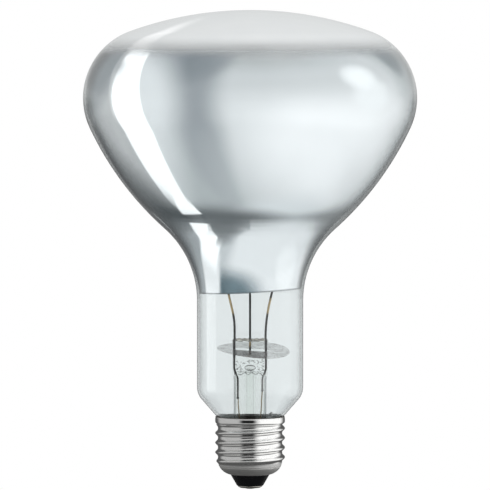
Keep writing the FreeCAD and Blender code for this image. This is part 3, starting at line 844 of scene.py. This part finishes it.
thin_tube = smooth_glass("thin_tube", (0.98, 0.99, 0.98), 1.06)
pen = Pen(0, EXHAUST_TIP)
pen.arc(at(0, EXHAUST_TIP + EXHAUST_RADIUS), -90, 10)
pen.line(EXHAUST_RADIUS - TUBE_FIT, EXHAUST_TOP, 12)
pen.line(EXHAUST_BORE, EXHAUST_TOP, 2)
pen.line(EXHAUST_BORE, EXHAUST_SHUT, 12)
pen.arc(at(0, EXHAUST_SHUT), 90, 8)
bm = pen.turned(EXHAUST_STEPS)
keep(bm, "exhaust_pipe", "exhaust_tube", "stem_glass", thin_tube)

# %% [markdown]
# ## The heat shield
# A disc of mica keeps hot gas away from the neck. It is split from a natural crystal, so it is glossy,
# smoky and never quite flat. Its front next to the press is painted dark brown, near black at the left end:
# a painted reflection of the press and the wires' shade in the glossy lip. A ring is bridged from the slot
# to the rim, cut into narrower rings, given its thickness and twisted.

# %% Mica finish
# Limits of the painted reflection on the mica's front, in millimetres.
REFLECTION_LEFT = (-6.6, -5.4)
REFLECTION_RIGHT = (6.8, 5.6)
REFLECTION_FRONT = (-2.0, -3.0)
DARKEST_LEFT = (-4.4, -5.6)

mica = Finish("split_mica", Specular_IOR_Level=0.2)
flake = mica.noise(330, 4.0, (1, 2.5, 1))


def mica_side(letter, limits):
    return mica.remap(mica.axis(letter), limits[0] * MM, limits[1] * MM)


# Painted reflection: the dark brown front patch, near black at its left end, stands in for the press and the
# wires' shade seen in the mica.
press_reflection = mica.overlap(mica_side("X", REFLECTION_LEFT), mica_side("X", REFLECTION_RIGHT), mica_side("Y", REFLECTION_FRONT))
darkest_reflection = mica.overlap(press_reflection, mica_side("X", DARKEST_LEFT))
sheet_colour = mica.mix(flake, (0.9, 0.9, 0.89), (0.6, 0.58, 0.55))
reflection_colour = mica.mix(press_reflection, sheet_colour, (0.20, 0.175, 0.17))
mica.tint(darkest_reflection, reflection_colour, (0.01, 0.01, 0.01))
mica.roughen(flake, 0.15, 0.35)
veil = mica.remap(flake, 0.35, 0.7, 0.16, 0.42)
reflection_veil = mica.overlap(press_reflection, mica.remap(flake, 0.3, 0.75, 0.45, 0.8))
mica.feed("Alpha", mica.math("MAXIMUM", mica.math("MAXIMUM", veil, reflection_veil), darkest_reflection))
mica.bump(flake, 0.05, 0.4)

# %% Cut and twist the disc
DISC_RADIUS = 13.6
DISC_HEIGHT = 52.2
DISC_THICKNESS = 0.3
DISC_SHIFT = 1.2
DISC_LEAN = 8.0
DISC_SLANT = 3.0
DISC_TWIST = 3.0
DISC_WAVE = 0.05
DISC_STEPS = 96
SLOT_GAP = 0.2

bm = bmesh.new()
rim = bmesh.ops.create_circle(bm, segments=DISC_STEPS, radius=DISC_RADIUS * MM)["verts"]
bmesh.ops.translate(bm, vec=(DISC_SHIFT * MM, 0, 0), verts=rim)
slot_edge = bmesh.ops.create_circle(bm, segments=DISC_STEPS, radius=MM)["verts"]
for vert in slot_edge:
    vert.co.x = squared(vert.co.x / MM) * (PRESS_HALF_WIDTH + SLOT_GAP) * MM
    vert.co.y = squared(vert.co.y / MM) * (PRESS_HALF_DEPTH + SLOT_GAP) * MM
bmesh.ops.bridge_loops(bm, edges=bm.edges[:])
spokes = [edge for edge in bm.edges if len(edge.link_faces) == 2]
bmesh.ops.subdivide_edges(bm, edges=spokes, cuts=7, use_grid_fill=True)
bmesh.ops.recalc_face_normals(bm, faces=bm.faces)
bmesh.ops.solidify(bm, geom=bm.faces[:], thickness=DISC_THICKNESS * MM)
for vert in bm.verts:
    share = vert.co.x / (DISC_RADIUS * MM)
    lean = math.radians(DISC_LEAN + DISC_TWIST * share)
    wave = DISC_WAVE * math.sin(3 * math.atan2(vert.co.y, vert.co.x) + 0.5) * share
    vert.co.z += vert.co.y * math.tan(lean) - vert.co.x * math.tan(math.radians(DISC_SLANT)) + wave * MM
bmesh.ops.translate(bm, vec=(0, 0, DISC_HEIGHT * MM), verts=bm.verts)
bmesh.ops.recalc_face_normals(bm, faces=bm.faces)
keep(bm, "heat_shield", "mica_disc", "mica", mica, crease=45)

# %% [markdown]
# ## The filament
# The coil is wound from fine tungsten wire. A small round section is spun about the coil's axis and moved
# along it at every step, which is how a spring is wound. It hangs between the tips of the two thick leads.

# %% Wind the coil
FILAMENT_HEIGHT = 101.0
COIL_LENGTH = 25.0
COIL_RADIUS = 0.65
COIL_PITCH = 1.25
COIL_STEPS = 20
COIL_WIRE = 0.19
COIL_SIDES = 8

tungsten = Finish("drawn_tungsten", Base_Color=(0.3, 0.3, 0.32, 1), Metallic=1.0)
tungsten.roughen(tungsten.noise(900, 3.0), 0.3, 0.55)

coil_turns = COIL_LENGTH / COIL_PITCH
coil_steps = round(coil_turns * COIL_STEPS)
coil_start = Vector((-COIL_LENGTH / 2, 0, FILAMENT_HEIGHT)) * MM
bm = bmesh.new()
section = bmesh.ops.create_circle(bm, segments=COIL_SIDES, radius=COIL_WIRE * MM, cap_ends=True)["verts"]
bmesh.ops.rotate(bm, matrix=Matrix.Rotation(math.radians(-90), 3, "X"), verts=section)
bmesh.ops.translate(bm, vec=coil_start + Vector((0, 0, COIL_RADIUS * MM)), verts=section)
bmesh.ops.spin(
    bm, geom=bm.verts[:] + bm.edges[:] + bm.faces[:], cent=coil_start, axis=(1, 0, 0),
    dvec=(COIL_LENGTH * MM / coil_steps, 0, 0), angle=2 * math.pi * coil_turns, steps=coil_steps,
)
weld(bm)
keep(bm, "tungsten_coil", "filament", "tungsten", tungsten, crease=60)

# %% [markdown]
# ## The wires
# The wires are plain bent rods, and the imported solids already have their true bends, so those stay and only
# get better finishes. The nickel looks black against the bright silver, with a gold stretch that is a
# painted highlight, standing in for the glint on the wire. The copper sheath of the sealed stretches is dark
# with oxide, and the right one is worn pale below the press.

# %% Finishes for the wires
WORN_FROM = 44.6
WORN_FULL = 43.0
# How far the painted gold glint fades out and in at its ends, in millimetres.
GLINT_OUT = 1.5
GLINT_IN = 0.5


# Painted highlight: a gold stretch between the heights low and high stands in for the glint on the nickel
# wire.
def wire_with_painted_glint(name, low, high):
    wire = Finish(name, Metallic=0.6, Specular_IOR_Level=0.1)
    draw_marks = wire.noise(700, 3.0, (1, 1, 0.1))
    glint_low = wire.remap(wire.axis("Z"), (low - GLINT_OUT) * MM, (low + GLINT_IN) * MM)
    glint_high = wire.remap(wire.axis("Z"), (high + GLINT_OUT) * MM, (high - GLINT_IN) * MM)
    dark = wire.mix(draw_marks, (0.004, 0.004, 0.004), (0.02, 0.019, 0.018))
    wire.tint(wire.overlap(glint_low, glint_high), dark, (0.55, 0.40, 0.20))
    wire.roughen(draw_marks, 0.25, 0.45)
    return wire


def sealed_sheath(name, worn):
    sheath = Finish(name, Roughness=0.55, Specular_IOR_Level=0.1)
    oxide = sheath.noise(800, 4.0)
    dark = sheath.mix(oxide, (0.003, 0.003, 0.003), (0.03, 0.024, 0.022))
    below_press = sheath.remap(sheath.axis("Z"), WORN_FROM * MM, WORN_FULL * MM, 0.0, worn)
    sheath.tint(below_press, dark, (0.62, 0.58, 0.58))
    sheath.feed("Metallic", sheath.remap(below_press, 0.0, 1.0, 0.4, 1.0))
    sheath.bump(oxide, 0.04, 0.5)
    return sheath


copper = Finish("drawn_copper", Metallic=1.0)
copper_cloud = copper.noise(500, 3.0, (1, 1, 0.3))
copper.tint(copper_cloud, (0.62, 0.44, 0.25), (0.36, 0.24, 0.14))
copper.roughen(copper_cloud, 0.28, 0.5)

# %% Dress the wires
def dress(node, finish):
    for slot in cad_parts[node].material_slots:
        slot.material = finish.material
    print(f"{node}: {finish.material.name}")


# The two heights are where each wire carries its painted gold glint.
dress("left_inner_lead", wire_with_painted_glint("left_lead_nickel", 66.5, 72.5))
dress("right_inner_lead", wire_with_painted_glint("right_lead_nickel", 66.5, 71.0))
dress("centre_support", wire_with_painted_glint("support_nickel", 54.0, 55.2))
dress("left_seal_wire", sealed_sheath("left_sheath", 0.0))
dress("right_seal_wire", sealed_sheath("right_sheath", 0.75))
dress("left_outer_lead", copper)
dress("right_outer_lead", copper)

# %% [markdown]
# ## The studio
# A silvered bulb is a picture of the room round it, so the room is half of the work. The lamp hangs in front
# of a white floor that curves up to a white backdrop. Both are one even white where the camera, a mirror or
# glass shows them. The stage is measured in metres.

# %% Helpers for the stage
def on_stage(bm, name, finish):
    mesh = bpy.data.meshes.new(name)
    bm.to_mesh(mesh)
    bm.free()
    mesh.materials.append(finish.material)
    piece = bpy.data.objects.new(name, mesh)
    bpy.context.scene.collection.objects.link(piece)
    print(f"{name}: {len(mesh.polygons)} faces on the stage")
    return piece


def only_in_reflections(piece):
    for kind in ("camera", "diffuse", "volume_scatter", "shadow"):
        setattr(piece, "visible_" + kind, False)


def seen_directly(tree):
    path = tree.nodes.new("ShaderNodeLightPath")
    total = path.outputs["Is Camera Ray"]
    for kind in ("Is Glossy Ray", "Is Transmission Ray"):
        widest = tree.nodes.new("ShaderNodeMath")
        widest.operation = "MAXIMUM"
        tree.links.new(total, widest.inputs[0])
        tree.links.new(path.outputs[kind], widest.inputs[1])
        total = widest.outputs[0]
    return total


def show_one_of(tree, factor, first, second, output):
    blend = tree.nodes.new("ShaderNodeMixShader")
    tree.links.new(factor, blend.inputs["Fac"])
    tree.links.new(first, blend.inputs[1])
    tree.links.new(second, blend.inputs[2])
    tree.links.new(blend.outputs["Shader"], tree.nodes[output].inputs["Surface"])


# %% Floor and backdrop
FLOOR = -0.9
FLOOR_FRONT = -4.0
FLOOR_BACK = 2.5
FLOOR_HALF_WIDTH = 5.0
BEND_RADIUS = 1.0
BEND_STEPS = 24
WALL_RISE = 4.0

white = Finish("white_sweep", Base_Color=(0.92, 0.92, 0.92, 1), Roughness=0.9, Specular_IOR_Level=0.0)
floor_glow = white.node("ShaderNodeEmission")
show_one_of(
    white.tree, seen_directly(white.tree), white.shader.outputs["BSDF"], floor_glow.outputs["Emission"],
    "Material Output",
)

bm = bmesh.new()
tip = bm.verts.new((0, FLOOR_FRONT, FLOOR))
tip = bmesh.ops.extrude_vert_indiv(bm, verts=[tip])["verts"][0]
tip.co.y = FLOOR_BACK
bend = bmesh.ops.spin(
    bm, geom=[tip], cent=(0, FLOOR_BACK, FLOOR + BEND_RADIUS), axis=(1, 0, 0), angle=math.radians(90),
    steps=BEND_STEPS,
)
tip = bmesh.ops.extrude_vert_indiv(bm, verts=points_of(bend["geom_last"]))["verts"][0]
tip.co.z += WALL_RISE
bmesh.ops.translate(bm, vec=(-FLOOR_HALF_WIDTH, 0, 0), verts=bm.verts)
far_side = bmesh.ops.extrude_edge_only(bm, edges=bm.edges[:])["geom"]
bmesh.ops.translate(bm, vec=(2 * FLOOR_HALF_WIDTH, 0, 0), verts=points_of(far_side))
bmesh.ops.recalc_face_normals(bm, faces=bm.faces)
on_stage(bm, "studio_sweep", white)

# %% White world
WORLD_LEVEL = 0.78
BACKDROP_LEVEL = 1.0

world = bpy.data.worlds.new("studio_world")
world.use_nodes = True
bpy.context.scene.world = world
tree = world.node_tree
plain = tree.nodes["Background"]
backdrop = tree.nodes.new("ShaderNodeBackground")
for background, level in ((plain, WORLD_LEVEL), (backdrop, BACKDROP_LEVEL)):
    background.inputs["Color"].default_value = (1, 1, 1, 1)
    background.inputs["Strength"].default_value = level
show_one_of(
    tree, seen_directly(tree), plain.outputs["Background"], backdrop.outputs["Background"], "World Output"
)
print("world level:", WORLD_LEVEL)

# %% [markdown]
# ## The light tent
# For its reflections the lamp hangs in a light tent, a big cloth ball that is lit unevenly. It shows only in
# reflections, so the picture's background stays white. The tent is painted by bearing and height, in degrees
# as seen from the lamp: 0 is the camera, 90 is its right and 180 is behind the lamp. Each light or dark cloth
# is a soft disc or a soft panel of one level, laid over those before it.

# %% Tools for painting the tent
TENT_RADIUS = 0.99
TENT_HEIGHT = 0.11
TENT_LEVEL = 1.3
STRIP = 1.3

cloth = Finish("tent_cloth")
cloth.tree.nodes.remove(cloth.shader)
straight = cloth.node("ShaderNodeVectorMath", operation="NORMALIZE")
cloth.link(cloth.place, straight.inputs[0])
split = cloth.node("ShaderNodeSeparateXYZ")
cloth.link(straight.outputs["Vector"], split.inputs["Vector"])
to_camera = cloth.math("MULTIPLY", split.outputs["Y"], -1.0)
bearing = cloth.math("MULTIPLY", cloth.math("ARCTAN2", split.outputs["X"], to_camera), 180 / math.pi)
rise = cloth.math("MULTIPLY", cloth.math("ARCSINE", split.outputs["Z"]), 180 / math.pi)


def towards(bearing_deg, rise_deg):
    turn_by, up = math.radians(bearing_deg), math.radians(rise_deg)
    return Vector((math.sin(turn_by) * math.cos(up), -math.cos(turn_by) * math.cos(up), math.sin(up)))


def soft_disc(bearing_deg, rise_deg, inner, outer):
    dot = cloth.node("ShaderNodeVectorMath", operation="DOT_PRODUCT")
    cloth.link(straight.outputs["Vector"], dot.inputs[0])
    dot.inputs[1].default_value = towards(bearing_deg, rise_deg)
    return cloth.remap(dot.outputs["Value"], math.cos(math.radians(outer)), math.cos(math.radians(inner)))


def crescent(disc, bite):
    return cloth.math("SUBTRACT", soft_disc(*disc), soft_disc(*bite))


def soft_slot(value, low, high, soft):
    over_low = cloth.remap(value, low - soft, low + soft)
    return cloth.overlap(over_low, cloth.remap(value, high + soft, high - soft))


def soft_panel(left, right, low, high, side_soft, end_soft):
    return cloth.overlap(soft_slot(bearing, left, right, side_soft), soft_slot(rise, low, high, end_soft))


def painted(base, layers):
    for mask, colour in layers:
        base = cloth.mix(mask, base, colour if isinstance(colour, tuple) else (colour,) * 3)
    return base


# %% [markdown]
# The silver sees a large soft light at the right, a tall bright strip at the left, grey in front and dark
# cloth behind. The strip is a crescent, because that is how a straight strip light looks in a round mirror.
# At the waist a slanting cut ends it.

# %% What the silver and the flare see
slant = cloth.math("ADD", bearing, cloth.math("MULTIPLY", rise, 0.77))
cut = cloth.remap(slant, -176.2, -174.2)
strip_top = cloth.overlap(
    crescent((-135.2, 3, 43.2, 45.2), (-147.3, 5, 33.5, 35.2)), cloth.remap(rise, 30, 36)
)
strip_end = cloth.overlap(
    cut, soft_disc(-134, -4.7, 56.2, 57.4), cloth.remap(rise, -47, -49), cloth.remap(bearing, -102, -116)
)
for_silver = painted((0.47, 0.495, 0.5), [
    (soft_disc(0, 75, 15, 38), (0.49, 0.50, 0.50)),
    (soft_panel(-30, 126, -12, 55, 11, 18), (0.66, 0.67, 0.675)),
    (soft_panel(-20, 144, -74, 6, 62, 27), (1.02, 1.01, 1.01)),
    (soft_disc(92, 7, 5, 22), 0.97),
    (soft_disc(88, 28, 3, 18), 1.06),
    (soft_panel(-67, -25, -66, 76, 13, 45), (0.33, 0.35, 0.37)),
    (soft_disc(-75, 47, 9, 40), (0.23, 0.255, 0.275)),
    (soft_disc(-104, 0, 36, 66), (0.82, 0.83, 0.835)),
    (soft_disc(-134, -4.7, 54.2, 55.4), STRIP),
    (soft_disc(-159, -3.4, 49.5, 51), 0.56),
    (soft_disc(-143, 19, 8, 36), (0.29, 0.31, 0.325)),
    (strip_top, 1.25),
    (soft_disc(-172, 4, 11, 40), (0.05, 0.055, 0.06)),
    (soft_panel(156, 230, -32, 45, 10, 18), (0.34, 0.35, 0.35)),
    (soft_disc(185, 0, 4, 22), (0.11, 0.115, 0.12)),
    (soft_disc(142, 26, 2, 16), (0.24, 0.265, 0.28)),
    (soft_disc(153, -70, 16, 31), (0.75, 0.77, 0.78)),
    (soft_disc(-172, -45, 20, 42), (0.06, 0.07, 0.075)),
    (soft_disc(-163, -69, 5, 29), (0.12, 0.13, 0.135)),
    (soft_disc(-150, -51, 3, 9), (0.05, 0.055, 0.06)),
    (strip_end, STRIP),
])
for_flare = painted((0.87, 0.875, 0.88), [
    (soft_disc(85, -33, 14, 26), 0.99),
    (soft_disc(185, 5, 24, 72), (0.10, 0.105, 0.11)),
    (soft_panel(-95, -50, -85, -10, 17, 10), (0.62, 0.64, 0.65)),
    (soft_panel(-115, -73, -52, -2, 4, 6), 0.93),
    (soft_panel(-210, -116, -95, 15, 3, 5), (0.40, 0.42, 0.43)),
    (soft_panel(-116, -79, -62, -36, 2.5, 9), STRIP),
    (soft_disc(-108, -72, 4, 19), (0.16, 0.17, 0.175)),
    (soft_disc(-180, -5, 15, 60), (0.065, 0.07, 0.075)),
    (cloth.overlap(cut, soft_panel(-150, -90, -63, -47.7, 2, 1)), STRIP),
])

# %% [markdown]
# What suits the silver spoils the cap and the glass, so they see other rooms. The cap has light cloth at both
# sides and dark cloth in front and below. A ray that climbs to the tent is shorter from the dome than from
# the cap, so its length tells the streak on the dome from the cap's reflections.

# %% What the cap, the dome and the glass walls see
path = cloth.node("ShaderNodeLightPath")
from_dome = cloth.math("LESS_THAN", path.outputs["Ray Length"], TENT_RADIUS)
on_neck = cloth.math("LESS_THAN", path.outputs["Transparent Depth"], 0.5)
behind = soft_slot(cloth.math("ABSOLUTE", bearing), 118, 200, 12)
dome_streak = cloth.overlap(
    crescent((-135.2, 3, 43.2, 45.2), (-147.3, 5, 30.8, 32.8)),
    cloth.remap(bearing, -178, -166), cloth.remap(rise, 14, 22), from_dome,
)
for_cap = painted((0.09, 0.09, 0.09), [
    (soft_panel(-128, -15, -30, 84, 14, 8), 0.42),
    (soft_panel(-25, 25, -27, 84, 10, 8), 0.42),
    (soft_panel(22, 132, -33, 84, 18, 8), 0.95),
    (soft_panel(-32, 18, -16, 8, 10, 5), 0.012),
    (cloth.overlap(from_dome, behind, soft_slot(rise, 1, 80, 4)), (0.52, 0.53, 0.53)),
    (dome_streak, STRIP),
])
skin_strip = cloth.overlap(
    crescent((-137.6, -4.3, 54, 58), (-159.5, -4.1, 46, 50)), soft_slot(rise, -16, 20, 8)
)
for_glass = painted((0.36, 0.37, 0.37), [
    (soft_panel(-200, -60, -85, 85, 10, 5), (0.14, 0.145, 0.15)),
    (soft_slot(rise, -10, 4, 4), (0.52, 0.53, 0.53)),
    (cloth.overlap(on_neck, cloth.remap(rise, -4, -7)), (0.66, 0.67, 0.67)),
    (skin_strip, 2.2),
])

# %% [markdown]
# The Light Path node tells which room a ray should see. A ray that has crossed no glass comes from the cap or
# from the bulb's outer skin. One that has crossed one or two skins comes from the inner skin, and one that
# has crossed both twice comes from the silver. After still more it has been through the stem, which sees one
# plain grey.

# %% Choose a room for each ray and hang the tent
SHEETS = [(71.4, 20.5), (95.2, 29.6), (96.6, 30.95), (98.0, 32.45), (99.4, 34.0), (100.8, 35.45)]
FOR_STEM = (0.42, 0.43, 0.43)

past_glass, past_wall, past_stem = [
    cloth.math("GREATER_THAN", path.outputs["Transmission Depth"], skins) for skins in (0.5, 2.5, 4.5)
]
over_waist = cloth.remap(path.outputs["Transparent Depth"], 1, len(SHEETS), smooth=False)
on_flare = cloth.overlap(cloth.math("SUBTRACT", 1.0, over_waist), cloth.remap(rise, -4, -8))
for_film = cloth.mix(on_flare, for_silver, for_flare)
paint = cloth.mix(past_wall, cloth.mix(past_glass, for_cap, for_glass), for_film)
glow = cloth.node("ShaderNodeEmission")
glow.inputs["Strength"].default_value = TENT_LEVEL
cloth.link(cloth.mix(past_stem, paint, FOR_STEM), glow.inputs["Color"])
clear = cloth.node("ShaderNodeBsdfTransparent")
mirrored = cloth.overlap(
    cloth.math("GREATER_THAN", path.outputs["Glossy Depth"], 0.5),
    cloth.math("LESS_THAN", path.outputs["Diffuse Depth"], 0.5),
)
show_one_of(cloth.tree, mirrored, clear.outputs["BSDF"], glow.outputs["Emission"], "Material Output")

bm = bmesh.new()
bmesh.ops.create_icosphere(bm, subdivisions=5, radius=TENT_RADIUS)
tent = on_stage(bm, "light_tent", cloth)
tent.location = (0, 0, TENT_HEIGHT)
only_in_reflections(tent)

# %% [markdown]
# The silver of the side and that of the flare see the same parts of the tent, but are lit differently in the
# photo. Fully clear sheets, spread like floors at the neck and at the waist, tell them apart: nobody sees
# them, but a ray that leaves downwards counts each one it passes as transparent depth. The five at the waist
# make the change gradual.

# %% Clear sheets round the neck and the waist
SHEET_GAP = 0.004
SHEET_STEPS = 128

sheet = Finish("clear_sheet")
sheet.tree.nodes.remove(sheet.shader)
through = sheet.node("ShaderNodeBsdfTransparent")
sheet.link(through.outputs["BSDF"], sheet.tree.nodes["Material Output"].inputs["Surface"])

bm = bmesh.new()
for height, hole in SHEETS:
    edges = []
    for radius in (TENT_RADIUS - SHEET_GAP, hole * MM):
        loop = bmesh.ops.create_circle(bm, segments=SHEET_STEPS, radius=radius)["verts"]
        bmesh.ops.translate(bm, vec=(0, 0, height * MM), verts=loop)
        edges += {edge for vert in loop for edge in vert.link_edges}
    bmesh.ops.bridge_loops(bm, edges=edges)
only_in_reflections(on_stage(bm, "waist_sheet", sheet))

# %% [markdown]
# ## Lamp and camera
# One large lamp stands for the soft light from the front right. It is hidden from reflections, because the
# tent already draws it there. The photo was taken from far away and a little above the neck, so the sides
# hardly converge. A long lens at just over two metres gives the same flat drawing.

# %% Lamp
KEY_PLACE = Vector((0.9, -1.3, 1.1))
KEY_AIM = Vector((0, 0, 0.1))
KEY_SIZE = 1.0
KEY_POWER = 6.0


def look(piece, place, aim):
    piece.location = place
    piece.rotation_euler = (aim - place).to_track_quat("-Z", "Y").to_euler()
    bpy.context.scene.collection.objects.link(piece)
    print(f"{piece.name}: {(aim - place).length:.2f} m from its aim")


key_data = bpy.data.lights.new("soft_key", "AREA")
key_data.shape = "SQUARE"
key_data.size = KEY_SIZE
key_data.energy = KEY_POWER
key = bpy.data.objects.new("soft_key", key_data)
key.visible_glossy = False
key.visible_transmission = False
look(key, KEY_PLACE, KEY_AIM)

# %% Camera
CAMERA_DISTANCE = 2.2
CAMERA_HEIGHT = 0.2
FRAME_WIDTH = 0.1834
SENSOR_WIDTH = 36.0
FAR_LIMIT = 50
AIM = Vector((-0.0019, 0, 0.0916))

camera_data = bpy.data.cameras.new("camera")
camera_data.sensor_width = SENSOR_WIDTH
camera_data.lens = SENSOR_WIDTH * CAMERA_DISTANCE / FRAME_WIDTH
camera_data.clip_end = FAR_LIMIT
camera = bpy.data.objects.new("camera", camera_data)
look(camera, Vector((AIM.x, -CAMERA_DISTANCE, CAMERA_HEIGHT)), AIM)
bpy.context.scene.camera = camera
bpy.context.scene.view_settings.view_transform = "Standard"
